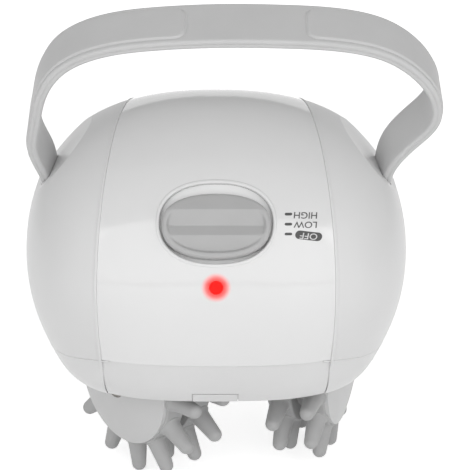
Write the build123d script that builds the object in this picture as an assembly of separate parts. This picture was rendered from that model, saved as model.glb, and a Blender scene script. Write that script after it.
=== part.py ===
from build123d import *
import os
from math import acos, asin, atan, cos, pi, radians, sin, sqrt, tan

# Electric roller massager: a domed white casing with a hand strap, a slide switch and
# a power light, standing on two motor driven finger rollers that open in a V.
# The origin is the centre of the flat underside, +Z is up and -Y is the side with the
# switch. Every length is in millimetres and every angle in degrees.

# Casing form
HALF_WIDTH = 74.4
HALF_DEPTH = 66.1
WIDEST_Z = 46.0
DOME_HEIGHT = 60.3
DOME_SIDE_POWER = 2.36
DOME_FRONT_POWER = 1.9
BELLY_SIDE = 76.8
BELLY_FRONT = 75.8
LOW_PLAN_POWER = 2.9
CROWN_PLAN_POWER = 2.18
LOW_LEVELS = (15.0, 31.0)
DOME_ANGLES = (15, 30, 44, 57, 68, 77, 84, 88.5)
PLAN_RAYS = 28
WALL = 2.3
PARTING_Z = 18.8
LOWER_STEP = 0.5
SEAM_X = 35.4
SEAM_SLOPE = 0.132
SEAM_GAP = 0.3
FLOOR_PLATE = 2.6
FIT_GAP = 0.3
OVERCUT = 1.0
UNDERCUT = -2.0

# Flat facet on each shoulder, where the strap goes in
FACET_X = 64.8
FACET_Z = 77.0
FACET_TILT = 41.0

# Hand strap, in a plane that leans to the front about the line of its feet
STRAP_WIDTH = 22.0
STRAP_THICKNESS = 3.8
STRAP_LEAN = 26.0
STRAP_FOOT_Z = 69.4
STRAP_END = -5.0
STRAP_FOOT_X = 64.2
STRAP_ROUTE = [
    (-STRAP_FOOT_X, STRAP_END),
    (-66.0, 14.0),
    (-69.4, 27.0),
    (-67.7, 39.0),
    (-64.8, 51.5),
    (-57.4, 64.9),
    (-42.5, 73.8),
    (-22.0, 77.6),
    (0.0, 78.9),
    (25.0, 78.6),
    (45.0, 77.0),
    (61.7, 72.1),
    (73.7, 62.7),
    (80.3, 52.1),
    (81.4, 42.0),
    (74.8, 30.9),
    (66.6, 17.0),
    (STRAP_FOOT_X, STRAP_END),
]
STRAP_END_WAYS = [(-0.1, 1), (-0.1, -1)]
STRAP_GAP = 0.3
STRAP_STEPS = 48

# Finger rollers
HUB_SPREAD = 34.8
PAIR_X = 6.0
PAIR_Y = -5.6
PAIR_TURN = 12.0
HUB_Z = -6.0
AXLE_SPLAY = 30.2
ROW_SPACING = 14.7
ROW_GAP = 4.6
FINGERS = 13
FINGER_REACH = 37.4
FINGER_TIP = 2.9
FINGER_WAIST = 3.7
FINGER_FLARE = 4.8
FINGER_ROOT = 1.2
FINGER_KNEE = 2.6
RIM_RADIUS = 26.6
RIM_ROUND = 0.8
HUB_DISC_RADIUS = 20.0
RIM_PLANE = 12.85
CAP_RADIUS = 25.8
CAP_DOME = 4.0
CAP_EDGE = 1.5
CAP_POCKET_RADIUS = 5.6
CAP_POCKET_DEPTH = 2.4
SCREW_HEAD_RADIUS = 3.6
SCREW_HEAD = 1.8
SCREW_HEAD_ROUND = 0.8
SCREW_CROSS = 5.2
SCREW_CROSS_WIDTH = 0.9
SCREW_CROSS_DEPTH = 0.8
SCREW_RADIUS = 1.4
SCREW_LENGTH = 6.0
SCREW_TIP_ROOM = 0.5
AXLE_RADIUS = 2.5
ROLLER_PHASES = {"left": (32.5, 33.2), "right": (-23.5, -10.4)}

# Gear arm between the two rows of fingers of a roller
ARM_THICKNESS = 3.6
ARM_PLATE = 0.7
ARM_MARGIN = 1.5
ARM_HEAD_MARGIN = 3.3
ARM_RIM_WALL = 1.0
GEAR_MODULE = 1.0
GEAR_WIDTH = 1.7
PRESSURE_ANGLE = 20.0
BACKLASH = 0.16
ADDENDUM = 0.85
DEDENDUM = 1.15
TRAIN = [("axle_gear", 24), ("lower_idler", 18), ("upper_idler", 18), ("motor_pinion", 14)]
PIN_RADIUS = 1.5
BUSH_RADIUS = 4.0
BUSH_PLAY = 0.1
SHAFT_PLAY = 0.05

# Roller wells in the floor of the casing
WELL_PLAY = 1.2
CAP_WELL_PLAY = 2.2
WELL_WALL = 1.6
ARM_SLOT_PLAY = 0.35

# Gear motors
MOTOR_RADIUS = 8.0
MOTOR_LENGTH = 17.0
MOTOR_ROUND = 1.0
MOTOR_BOSS_RADIUS = 2.5
MOTOR_BOSS = 1.2
GEARBOX_LENGTH = 11.0
GEARBOX_ROUND = 2.5
MOTOR_SHAFT_RADIUS = 1.5
MOTOR_SHAFT_DEPTH = 6.0
SADDLE_MARGIN = 1.0

# Slide switch
RECESS_Z = 73.9
RECESS_DEPTH = 3.4
RECESS_WALL = 1.8
OVAL_POWER = 2.3
KNOB_HALF_WIDTH = 20.0
KNOB_HALF_HEIGHT = 12.3
KNOB_HEIGHT = 5.2
KNOB_BEVEL = 1.6
KNOB_TRAVEL = 3.6
KNOB_GAP = 0.7
KNOB_END_GAP = 0.65
KNOB_GAP_BELOW = 1.45
KNOB_FLOAT = 0.3
KNOB_GROOVE = 1.1
KNOB_RIDGE = 0.1
KNOB_VALLEYS = (5.6, -3.9)
STEM_WIDTH = 5.0
STEM_THICKNESS = 3.6
SWITCH_WIDTH = 7.0
SWITCH_HEIGHT = 4.6
SWITCH_WALL = 0.6
SLIDER_LENGTH = 5.0
LEVER = 1.8
LEVER_RISE = 2.4

# Control board behind the switch, in the plane of the switch
BOARD_WIDTH = 40.0
BOARD_LENGTH = 40.0
BOARD_MIDDLE = -6.0
BOARD_THICKNESS = 1.6
BOARD_ROUND = 2.0
BOARD_FACE = -12.5
BOARD_POSTS = [(-16.0, 9.0), (16.0, 9.0), (-16.0, -21.0), (16.0, -21.0)]
POST_RADIUS = 2.6
BOARD_SCREW_RADIUS = 1.1
BOARD_SCREW_HEAD = 1.4
BOARD_SCREW_DEPTH = 5.0

# Power light
LED_Z = 51.7
LED_RADIUS = 2.5
LENS_LENGTH = 3.0
LENS_PLAY = 0.05
LED_GAP = 0.2
LED_LENGTH = 3.0
LED_ROUND = 1.2
LED_FLANGE = 0.4
LED_LEG = 2.2
LED_LEG_RADIUS = 0.35
LED_LEG_PITCH = 2.54

# Lips of the centre cover under the side covers
LIP_GAP = 0.2
LIP_WALL = 1.2
LIP_REACH = 3.0

# Strap fixing inside the side covers
SLEEVE_WALL = 1.8
SLEEVE_RISE = 22.0
SLEEVE_FLOOR = 2.4
STRAP_SCREW_RISE = 0.0
STRAP_SCREW_RADIUS = 1.5
STRAP_SCREW_LENGTH = 7.0
STRAP_SCREW_HEAD = 1.6

# Screws that hold the casing together: place, and the way of the rib from boss to skin
CASE_SCREWS = [(-48.0, -27.0, 180.0), (-44.0, 35.0, 120.0), (34.6, 41.3, 90.0)]
CASE_SCREW_RADIUS = 1.5
CASE_SCREW_DEPTH = 13.0
CASE_HEAD_RADIUS = 2.6
CASE_HEAD = 1.2
CASE_HEAD_SINK = 0.6
BOSS_RADIUS = 3.3
BOSS_HEIGHT = 15.0
RIB_REACH = 30.0
RIB_THICKNESS = 2.0

# Snap tab in the front apron
CATCH_X = -0.4
CATCH_WIDTH = 17.0
CATCH_HEIGHT = 4.3
CATCH_GAP = 0.2
CATCH_PROUD = 0.2

# Batteries, lying across the back of the floor
CELL_RADIUS = 7.2
CELL_LENGTH = 48.5
CELL_ROUND = 0.6
CELL_NUB_RADIUS = 2.6
CELL_NUB = 1.6
CELL_PITCH = 15.0
CELL_FRONT_Y = 19.5
CELL_PLAY = 0.5
CELL_END_PLAY = 3.2
CONTACT_PLATE = 0.4
CONTACT_PLAY = 0.1
CONTACT_MARGIN = 4.0
SPRING_FLARE = 1.4
BOX_WALL = 1.5
DOOR_THICKNESS = 1.8
DOOR_ROUND = 1.5
DOOR_GROOVE_RADIUS = 6.0
DOOR_GROOVE_LENGTH = 16.0
DOOR_GROOVE_DEPTH = 1.0
DOOR_GROOVE_INSET = 5.0

ROLLER_SIDES = {"left": -1, "right": 1}
FAR = 120.0


def dome_girth(climb):
    """Share of the widest half width and half depth at a share of the dome's height."""
    side = (1 - climb**DOME_SIDE_POWER) ** (1 / DOME_SIDE_POWER)
    front = (1 - climb**DOME_FRONT_POWER) ** (1 / DOME_FRONT_POWER)
    return side, front


def girth(z):
    """Share of the widest half width and half depth that the casing has at height z."""
    if z >= WIDEST_Z:
        return dome_girth((z - WIDEST_Z) / DOME_HEIGHT)
    drop = WIDEST_Z - z
    return sqrt(1 - (drop / BELLY_SIDE) ** 2), sqrt(1 - (drop / BELLY_FRONT) ** 2)


def superellipse(half_x, half_y, power, steps):
    """Closed curve |x/a|^n + |y/b|^n = 1, drawn through evenly turned rays."""
    points = []
    for step in range(steps):
        turn = 2 * pi * step / steps
        reach = (abs(cos(turn) / half_x) ** power + abs(sin(turn) / half_y) ** power) ** (-1 / power)
        points.append((reach * cos(turn), reach * sin(turn)))
    return Spline(*points, periodic=True)


def casing_form(inset, bottom=0.0):
    """The whole egg of the casing from the underside to the crown, shrunk by inset."""
    levels = [(height, girth(height), 0.0) for height in (bottom, *LOW_LEVELS, WIDEST_Z)]
    for angle in DOME_ANGLES:
        climb = sin(radians(angle))
        height = WIDEST_Z + (DOME_HEIGHT - inset) * climb
        levels.append((height, dome_girth(climb), climb))
    sections = []
    for height, (share_x, share_y), climb in levels:
        half_x = share_x * (HALF_WIDTH - inset)
        half_y = share_y * (HALF_DEPTH - inset)
        if height < WIDEST_Z:
            half_x = share_x * HALF_WIDTH - inset
            half_y = share_y * HALF_DEPTH - inset
        power = LOW_PLAN_POWER + (CROWN_PLAN_POWER - LOW_PLAN_POWER) * climb
        outline = superellipse(half_x, half_y, power, PLAN_RAYS)
        sections.append(Pos(0, 0, height) * make_face(Wire([outline])))
    return loft(sections)


def front_point(z):
    """Point on the casing's centre line at height z, with the plane that lies on it there."""
    share = girth(z)[1]
    climb = (z - WIDEST_Z) / DOME_HEIGHT
    up = climb ** (DOME_FRONT_POWER - 1) / DOME_HEIGHT
    out = share ** (DOME_FRONT_POWER - 1) / HALF_DEPTH
    tilt = atan(up / out)
    return Plane(origin=(0, -share * HALF_DEPTH, z), x_dir=(1, 0, 0), z_dir=(0, -cos(tilt), sin(tilt)))


def seam_wedge(gap, low, high):
    """Block between the two seams, which draw together towards the back."""
    front = SEAM_X + SEAM_SLOPE * FAR - gap
    back = SEAM_X - SEAM_SLOPE * FAR - gap
    outline = Polyline((-front, -FAR), (front, -FAR), (back, FAR), (-back, FAR), close=True)
    return extrude(Pos(0, 0, low) * make_face(outline), amount=high - low)


def facet_cutter(depth=0.0):
    """What is cut away above each shoulder facet; depth lowers the facets."""
    cutters = []
    for side in (-1, 1):
        tilt = radians(FACET_TILT)
        normal = (side * cos(tilt), 0, sin(tilt))
        seat = Plane(origin=(side * FACET_X, 0, FACET_Z), x_dir=(0, 1, 0), z_dir=normal).offset(-depth)
        cutters.append(extrude(seat * Rectangle(FAR, FAR), amount=FAR / 4))
    return cutters


def trimmed_form(inset, bottom=0.0):
    """Casing form with its two shoulder facets."""
    form = casing_form(inset, bottom)
    for cutter in facet_cutter(inset):
        form -= cutter
    return form


def roller_plane(side):
    """Plane in the middle of a roller: Z runs out along its axle and Y is up."""
    sign = ROLLER_SIDES[side]
    turn = radians(PAIR_TURN)
    splay = radians(AXLE_SPLAY)
    across = sign * HUB_SPREAD
    out_x = sign * cos(splay)
    out_y = -sin(splay)
    normal = (out_x * cos(turn) - out_y * sin(turn), out_x * sin(turn) + out_y * cos(turn))
    hub = (PAIR_X + across * cos(turn), PAIR_Y + across * sin(turn), HUB_Z)
    along = (-normal[1], normal[0], 0)
    return Plane(origin=hub, x_dir=along, z_dir=(normal[0], normal[1], 0))


def gear_radius(teeth):
    return GEAR_MODULE * teeth / 2


def train_heights():
    """Height of each gear's axis above the roller axle, from the axle gear up."""
    heights = [0.0]
    for (_, below), (_, above) in zip(TRAIN, TRAIN[1:]):
        heights.append(heights[-1] + gear_radius(below) + gear_radius(above))
    return heights


def spur_gear(teeth, bore, phase):
    """Involute spur gear about Z, with the middle of one tooth turned phase from X."""
    pitch_radius = gear_radius(teeth)
    base_radius = pitch_radius * cos(radians(PRESSURE_ANGLE))
    tip_radius = pitch_radius + ADDENDUM * GEAR_MODULE
    root_radius = pitch_radius - DEDENDUM * GEAR_MODULE
    inv_pitch = tan(radians(PRESSURE_ANGLE)) - radians(PRESSURE_ANGLE)
    half_tooth = pi / (2 * teeth) - BACKLASH / (2 * pitch_radius)

    def flank(radius):
        roll = acos(min(base_radius / radius, 1.0))
        return half_tooth + inv_pitch - (tan(roll) - roll)

    low_radius = max(base_radius, root_radius)
    mid_radius = (pitch_radius + tip_radius) / 2
    outline = []
    for tooth in range(teeth):
        centre = radians(phase) + 2 * pi * tooth / teeth
        rising = [(root_radius, -flank(low_radius)), (low_radius + 0.01, -flank(low_radius))]
        rising += [(mid_radius, -flank(mid_radius)), (tip_radius, -flank(tip_radius))]
        for radius, angle in rising + [(radius, -angle) for radius, angle in reversed(rising)]:
            outline.append((radius * cos(centre + angle), radius * sin(centre + angle)))
    blank = make_face(Polyline(*outline, close=True)) - Circle(bore)
    return extrude(blank, amount=GEAR_WIDTH / 2, both=True)


def train_phases():
    """Turn of each gear that puts its teeth in the gaps of the one below it."""
    phases = [90.0]
    for (_, below), (_, above) in zip(TRAIN, TRAIN[1:]):
        pitch_below = 360.0 / below
        offset = ((90.0 - phases[-1]) / pitch_below) % 1.0
        phases.append(270.0 + offset * 360.0 / above + 180.0 / above)
    return phases


def disc(radius, low, high):
    """Plain disc about Z from height low to height high."""
    return Pos(0, 0, low) * extrude(Circle(radius), amount=high - low)


def finger():
    """One rubber finger along +X: flared foot, slim taper and round tip."""
    root = RIM_RADIUS - FINGER_ROOT
    knee = RIM_RADIUS + FINGER_KNEE
    profile = Polyline((root, 0), (root, FINGER_FLARE), (RIM_RADIUS, FINGER_FLARE))
    profile += Spline(
        (RIM_RADIUS, FINGER_FLARE),
        (knee, FINGER_WAIST),
        tangents=[(0.4, -1), (1, -0.09)],
    )
    profile += Line((knee, FINGER_WAIST), (FINGER_REACH, FINGER_TIP))
    profile += RadiusArc((FINGER_REACH, FINGER_TIP), (FINGER_REACH + FINGER_TIP, 0), FINGER_TIP)
    profile += Line((FINGER_REACH + FINGER_TIP, 0), (root, 0))
    return revolve(make_face(profile), axis=Axis.X)


def finger_wheel(row, phase):
    """Rubber ring with its fingers; row is +1 for the outer wheel and -1 for the inner."""
    inner_face = ROW_GAP / 2
    outer_face = RIM_PLANE - CAP_EDGE
    ring = disc(RIM_RADIUS, inner_face, outer_face) - disc(HUB_DISC_RADIUS, 0, RIM_PLANE)
    ring = fillet(ring.edges().filter_by(GeomType.CIRCLE).sort_by(SortBy.RADIUS)[-2:], RIM_ROUND)
    body = ring
    trim = disc(FAR, inner_face, FAR)
    for number in range(FINGERS):
        turn = phase + 360.0 * number / FINGERS - 90.0
        body += Rot(0, 0, turn) * Pos(0, 0, ROW_SPACING / 2) * finger()
    body = (body & trim) - disc(CAP_RADIUS, outer_face, FAR)
    if row < 0:
        body = mirror(body, about=Plane.XY)
    return body


def hub_disc(row):
    """Plastic wheel centre that carries a rubber ring and is keyed on the axle."""
    inner_face = ROW_GAP / 2
    outer_face = RIM_PLANE - CAP_EDGE
    core = disc(HUB_DISC_RADIUS, inner_face, outer_face) - disc(AXLE_RADIUS, 0, RIM_PLANE)
    if row < 0:
        core = mirror(core, about=Plane.XY)
    return core


def roller_cap():
    """Domed outer cap with the screw's round pocket in its middle."""
    seat = RIM_PLANE - CAP_EDGE
    rise = RIM_PLANE + CAP_DOME
    radius = (CAP_RADIUS**2 + (rise - RIM_PLANE) ** 2) / (2 * (rise - RIM_PLANE))
    profile = Polyline((0, seat), (CAP_RADIUS, seat), (CAP_RADIUS, RIM_PLANE))
    profile += RadiusArc((CAP_RADIUS, RIM_PLANE), (0, rise), -radius)
    profile += Line((0, rise), (0, seat))
    cap = revolve(Plane.XZ * make_face(profile), axis=Axis.Z)
    floor = rise - CAP_POCKET_DEPTH
    cap -= disc(CAP_POCKET_RADIUS, floor, FAR)
    cap -= disc(SCREW_RADIUS + SHAFT_PLAY, 0, FAR)
    return cap, floor


def cap_screw(floor):
    """Pan head screw that holds the cap to the end of the axle."""
    head = disc(SCREW_HEAD_RADIUS, floor, floor + SCREW_HEAD)
    head = fillet(head.edges().sort_by(Axis.Z)[-1], SCREW_HEAD_ROUND)
    for turn in (0, 90):
        groove = Box(SCREW_CROSS, SCREW_CROSS_WIDTH, 2 * SCREW_CROSS_DEPTH)
        head -= Pos(0, 0, floor + SCREW_HEAD) * Rot(0, 0, turn) * groove
    return head + disc(SCREW_RADIUS, floor - SCREW_LENGTH, floor)


def axle(floor):
    """Steel axle through both wheels, tapped at its outer end for the cap screw."""
    outer = RIM_PLANE - CAP_EDGE
    shaft = disc(AXLE_RADIUS, -outer, outer)
    shaft -= disc(SCREW_RADIUS, floor - SCREW_LENGTH - SCREW_TIP_ROOM, FAR)
    return shaft


def arm_outline(margin):
    """Outline of the gear arm: two round ends round the axle gear and the pinion."""
    heights = train_heights()
    low_radius = gear_radius(TRAIN[0][1]) + ADDENDUM * GEAR_MODULE + margin
    high_radius = gear_radius(TRAIN[-1][1]) + ADDENDUM * GEAR_MODULE + margin + ARM_HEAD_MARGIN - ARM_MARGIN
    lower = Circle(low_radius)
    upper = Pos(0, heights[-1]) * Circle(high_radius)
    lean = asin((low_radius - high_radius) / heights[-1])
    sides = Polyline(
        (-low_radius * cos(lean), low_radius * sin(lean)),
        (low_radius * cos(lean), low_radius * sin(lean)),
        (high_radius * cos(lean), heights[-1] + high_radius * sin(lean)),
        (-high_radius * cos(lean), heights[-1] + high_radius * sin(lean)),
        close=True,
    )
    return lower + upper + make_face(sides)


def arm_plate(face):
    """Steel side plate of the arm; face is +1 for the outer plate and -1 for the inner."""
    heights = train_heights()
    low = ARM_THICKNESS / 2 - ARM_PLATE
    plate = extrude(Pos(0, 0, low) * arm_outline(ARM_MARGIN), amount=ARM_PLATE)
    plate -= disc(BUSH_RADIUS, 0, FAR)
    for height in heights[1:-1]:
        plate -= Pos(0, height) * disc(PIN_RADIUS, 0, FAR)
    plate -= Pos(0, heights[-1]) * disc(MOTOR_SHAFT_RADIUS + SHAFT_PLAY, 0, FAR)
    if face < 0:
        plate = mirror(plate, about=Plane.XY)
    return plate


def arm_rim():
    """Edge band that joins the two plates and closes the gears in."""
    outer = arm_outline(ARM_MARGIN)
    inner = arm_outline(ARM_MARGIN - ARM_RIM_WALL)
    return extrude(outer - inner, amount=ARM_THICKNESS / 2 - ARM_PLATE, both=True)


def idler_pins():
    """Two steel pins that the idler gears turn on."""
    pins = []
    for height in train_heights()[1:-1]:
        half = ARM_THICKNESS / 2
        pins.append(Pos(0, height) * disc(PIN_RADIUS, -half, half))
    return Compound(children=pins)


def gear_motor():
    """Round motor with its flat reduction gearbox; the gearbox faces the arm."""
    top = train_heights()[-1]
    start = ARM_THICKNESS / 2
    gearbox = extrude(Rectangle(2 * MOTOR_RADIUS, 2 * MOTOR_RADIUS), amount=GEARBOX_LENGTH)
    gearbox = fillet(gearbox.edges().filter_by(Axis.Z), GEARBOX_ROUND)
    back = GEARBOX_LENGTH + MOTOR_LENGTH
    can = disc(MOTOR_RADIUS, GEARBOX_LENGTH, back)
    can = fillet(can.edges().sort_by(Axis.Z)[-1], MOTOR_ROUND)
    boss = disc(MOTOR_BOSS_RADIUS, back, back + MOTOR_BOSS)
    bore = disc(MOTOR_SHAFT_RADIUS + SHAFT_PLAY, -OVERCUT, MOTOR_SHAFT_DEPTH + SHAFT_PLAY)
    motor = gearbox + can + boss - bore
    return Pos(0, top, -start) * Rot(180, 0, 0) * motor


def pinion_shaft():
    """Motor shaft from inside the gearbox through both arm plates."""
    top = train_heights()[-1]
    half = ARM_THICKNESS / 2
    return Pos(0, top) * disc(MOTOR_SHAFT_RADIUS, -half - MOTOR_SHAFT_DEPTH, half)


def well_form(grow):
    """Space that a roller turns in, grown by a wall."""
    reach = FINGER_REACH + FINGER_TIP + WELL_PLAY + grow
    half = RIM_PLANE - CAP_EDGE + WELL_PLAY + grow
    cap_reach = RIM_RADIUS + WELL_PLAY + grow
    cap_end = RIM_PLANE + CAP_DOME + CAP_WELL_PLAY + grow
    return disc(reach, -half, half) + disc(cap_reach, half, cap_end)


def axle_bushes():
    """Two flat bronze bushes pressed into the arm plates round the axle."""
    low = ARM_THICKNESS / 2 - ARM_PLATE - BUSH_PLAY
    ring = disc(BUSH_RADIUS, low, ROW_GAP / 2 - BUSH_PLAY) - disc(AXLE_RADIUS + SHAFT_PLAY, 0, RIM_PLANE)
    return Compound(children=[ring, mirror(ring, about=Plane.XY)])


def bay_half_x():
    return CELL_LENGTH / 2 + CELL_END_PLAY


def battery_bay(grow):
    """Box that holds the cells, grown by a wall, open at the underside."""
    depth = CELL_PITCH + 2 * CELL_RADIUS + 2 * CELL_PLAY + 2 * grow
    height = DOOR_THICKNESS + CELL_PITCH + 2 * CELL_RADIUS + 2 * CELL_PLAY + grow
    middle = CELL_FRONT_Y + CELL_PITCH / 2
    box = Box(2 * (bay_half_x() + grow), depth, height, align=(Align.CENTER, Align.CENTER, Align.MIN))
    return Pos(0, middle, 0) * box


def lower_housing(inner_form):
    """Front and back aprons, floor plate, roller wells and battery box as one moulding."""
    band = casing_form(LOWER_STEP) & seam_wedge(SEAM_GAP / 2, 0, PARTING_Z - SEAM_GAP / 2)
    band -= casing_form(WALL + LOWER_STEP, UNDERCUT)
    band -= catch_box(CATCH_GAP)
    core = extrude(Rectangle(2 * FAR, 2 * FAR), amount=FLOOR_PLATE) + battery_bay(BOX_WALL)
    above = Pos(0, 0, FAR) * Box(4 * FAR, 4 * FAR, 2 * FAR)
    for side in ROLLER_SIDES:
        core += (roller_plane(side).location * well_form(WELL_WALL)) & above
    for saddle in motor_saddles():
        core += saddle
    housing = band + (core & inner_form)
    for side in ROLLER_SIDES:
        place = roller_plane(side).location
        housing -= place * well_form(0)
        slot = arm_outline(ARM_MARGIN + ARM_SLOT_PLAY)
        housing -= place * extrude(slot, amount=ARM_THICKNESS / 2 + ARM_SLOT_PLAY, both=True)
    housing -= battery_bay(0)
    for x, y, _ in CASE_SCREWS:
        housing -= Pos(x, y) * disc(CASE_SCREW_RADIUS + SHAFT_PLAY, -OVERCUT, 2 * FLOOR_PLATE)
        housing -= Pos(x, y) * disc(CASE_HEAD_RADIUS + SHAFT_PLAY, -OVERCUT, CASE_HEAD_SINK + CASE_HEAD)
    return housing


def main_covers():
    """Centre cover with its lips under the side covers, and the two side covers."""
    shell = trimmed_form(0) - trimmed_form(WALL, UNDERCUT)
    above = PARTING_Z + SEAM_GAP / 2
    centre = shell & seam_wedge(SEAM_GAP / 2, above, 2 * FAR)
    beyond = shell - seam_wedge(-SEAM_GAP / 2, -FAR, 2 * FAR)
    lip_back = trimmed_form(WALL + LIP_GAP + LIP_WALL, UNDERCUT)
    lip_zone = seam_wedge(LIP_REACH, above, 2 * FAR)
    lips = trimmed_form(WALL + LIP_GAP, UNDERCUT) & seam_wedge(-LIP_REACH, above, 2 * FAR)
    root = trimmed_form(WALL - LIP_GAP, UNDERCUT) & seam_wedge(SEAM_GAP, above, 2 * FAR)
    for strip in (lips, root):
        centre += strip - lip_back - lip_zone
    left, right = beyond.solids().sort_by(Axis.X)
    return centre, {"left": left, "right": right}


def oval(half_x, half_y):
    return make_face(Wire([superellipse(half_x, half_y, OVAL_POWER, 24)]))


def knob_plane():
    return front_point(RECESS_Z)


def recess_size():
    """Half width and half height of the switch recess, from the knob and its travel."""
    half_x = KNOB_HALF_WIDTH + KNOB_GAP
    half_y = KNOB_HALF_HEIGHT + (KNOB_TRAVEL + KNOB_END_GAP + KNOB_GAP_BELOW) / 2
    return half_x, half_y


def knob_offset():
    """Distance of the knob's middle below the middle of its recess when it is off."""
    half_y = recess_size()[1]
    return KNOB_GAP_BELOW + KNOB_HALF_HEIGHT - half_y


def centre_cover(centre, core):
    """Cuts the switch recess, stem slot and light hole, and adds the board's posts."""
    place = knob_plane().location
    half_x, half_y = recess_size()
    floor = -RECESS_DEPTH - RECESS_WALL
    saucer = extrude(oval(half_x + RECESS_WALL, half_y + RECESS_WALL), amount=-floor + OVERCUT)
    centre += (place * Pos(0, 0, floor) * saucer) & core
    for x, y in BOARD_POSTS:
        post = place * (Pos(x, y, BOARD_FACE) * extrude(Circle(POST_RADIUS), amount=-BOARD_FACE))
        centre += post & core
        screw_hole = disc(BOARD_SCREW_RADIUS, BOARD_FACE - OVERCUT, BOARD_FACE + BOARD_SCREW_DEPTH)
        centre -= place * Pos(x, y) * screw_hole
    pocket = Pos(0, 0, -RECESS_DEPTH) * extrude(oval(half_x, half_y), amount=FAR / 4)
    slot_height = STEM_THICKNESS + KNOB_TRAVEL + 2 * KNOB_GAP
    slot = Pos(0, knob_offset() + KNOB_TRAVEL / 2, floor + RECESS_WALL / 2) * Box(
        STEM_WIDTH + 2 * KNOB_GAP, slot_height, RECESS_WALL + 2 * OVERCUT
    )
    centre -= place * pocket
    centre -= place * slot
    light = front_point(LED_Z).location
    centre -= light * disc(LED_RADIUS + LENS_PLAY, -2 * WALL, WALL)
    return centre


def slide_knob():
    """Oval grip with two V flutes across it and a stem down to the switch lever."""
    base = -RECESS_DEPTH + KNOB_FLOAT
    top = base + KNOB_HEIGHT
    grip = Pos(0, 0, base) * extrude(oval(KNOB_HALF_WIDTH, KNOB_HALF_HEIGHT), amount=KNOB_HEIGHT)
    grip = chamfer(grip.edges().group_by(Axis.Z)[-1], KNOB_BEVEL)
    rim = KNOB_HALF_HEIGHT - KNOB_BEVEL
    flutes = Polyline(
        (rim, top + OVERCUT),
        (rim, top),
        (KNOB_VALLEYS[0], top - KNOB_GROOVE),
        (0, top - KNOB_RIDGE),
        (KNOB_VALLEYS[1], top - KNOB_GROOVE),
        (-rim + KNOB_BEVEL, top),
        (-rim + KNOB_BEVEL, top + OVERCUT),
        close=True,
    )
    cutter = extrude(Plane.YZ * make_face(flutes), amount=KNOB_HALF_WIDTH, both=True)
    grip -= cutter
    stem_base = BOARD_FACE + SWITCH_HEIGHT + KNOB_FLOAT
    stem = Pos(0, 0, stem_base) * Box(
        STEM_WIDTH, STEM_THICKNESS, base - stem_base, align=(Align.CENTER, Align.CENTER, Align.MIN)
    )
    stem -= Pos(0, 0, stem_base) * Box(LEVER, LEVER, 2 * LEVER_RISE)
    return knob_plane().location * Pos(0, knob_offset(), 0) * (grip + stem)


def switch_lever():
    """Square lever of the slide switch, held in the knob's stem."""
    foot = BOARD_FACE + SWITCH_WALL + KNOB_FLOAT
    top = BOARD_FACE + SWITCH_HEIGHT + KNOB_FLOAT + LEVER_RISE
    lever = Pos(0, 0, foot) * Box(LEVER, LEVER, top - foot, align=(Align.CENTER, Align.CENTER, Align.MIN))
    slider_top = BOARD_FACE + SWITCH_HEIGHT - SWITCH_WALL - KNOB_FLOAT
    slider = Pos(0, 0, foot) * Box(
        SWITCH_WIDTH - 2 * SWITCH_WALL - 2 * KNOB_FLOAT,
        SLIDER_LENGTH,
        slider_top - foot,
        align=(Align.CENTER, Align.CENTER, Align.MIN),
    )
    return knob_plane().location * Pos(0, knob_offset(), 0) * (lever + slider)


def slide_switch():
    """Metal box of the switch on the board, open along the lever's way."""
    cavity_length = SLIDER_LENGTH + KNOB_TRAVEL + 2 * KNOB_FLOAT
    length = cavity_length + 2 * SWITCH_WALL
    middle = knob_offset() + KNOB_TRAVEL / 2
    box = Box(SWITCH_WIDTH, length, SWITCH_HEIGHT, align=(Align.CENTER, Align.CENTER, Align.MIN))
    cavity = Pos(0, 0, SWITCH_WALL) * Box(
        SWITCH_WIDTH - 2 * SWITCH_WALL,
        cavity_length,
        SWITCH_HEIGHT - 2 * SWITCH_WALL,
        align=(Align.CENTER, Align.CENTER, Align.MIN),
    )
    window = Box(
        LEVER + 2 * KNOB_FLOAT,
        LEVER + KNOB_TRAVEL + 2 * KNOB_FLOAT,
        2 * SWITCH_HEIGHT,
        align=(Align.CENTER, Align.CENTER, Align.MIN),
    )
    box -= cavity + Pos(0, 0, SWITCH_HEIGHT / 2) * window
    return knob_plane().location * Pos(0, middle, BOARD_FACE) * box


def control_board():
    """Circuit board behind the switch, with holes for its four screws."""
    board = Pos(0, BOARD_MIDDLE, BOARD_FACE - BOARD_THICKNESS) * Box(
        BOARD_WIDTH, BOARD_LENGTH, BOARD_THICKNESS, align=(Align.CENTER, Align.CENTER, Align.MIN)
    )
    board = fillet(board.edges().filter_by(Axis.Z), BOARD_ROUND)
    for x, y in BOARD_POSTS:
        board -= Pos(x, y, BOARD_FACE) * Cylinder(BOARD_SCREW_RADIUS + SHAFT_PLAY, 4 * BOARD_THICKNESS)
    return knob_plane().location * board


def board_screws():
    """Four short screws from the back of the board into the cover's posts."""
    screws = []
    back = BOARD_FACE - BOARD_THICKNESS
    for x, y in BOARD_POSTS:
        head = disc(2 * BOARD_SCREW_RADIUS, back - BOARD_SCREW_HEAD, back)
        shank = disc(BOARD_SCREW_RADIUS, back, BOARD_FACE + BOARD_SCREW_DEPTH - SCREW_TIP_ROOM)
        screws.append(knob_plane().location * Pos(x, y) * (head + shank))
    return Compound(children=screws)


def light_lens():
    """Clear plug that lies flush in the centre cover."""
    plug = disc(LED_RADIUS, -LENS_LENGTH, FAR / 10)
    return (front_point(LED_Z).location * plug) & casing_form(0)


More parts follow.
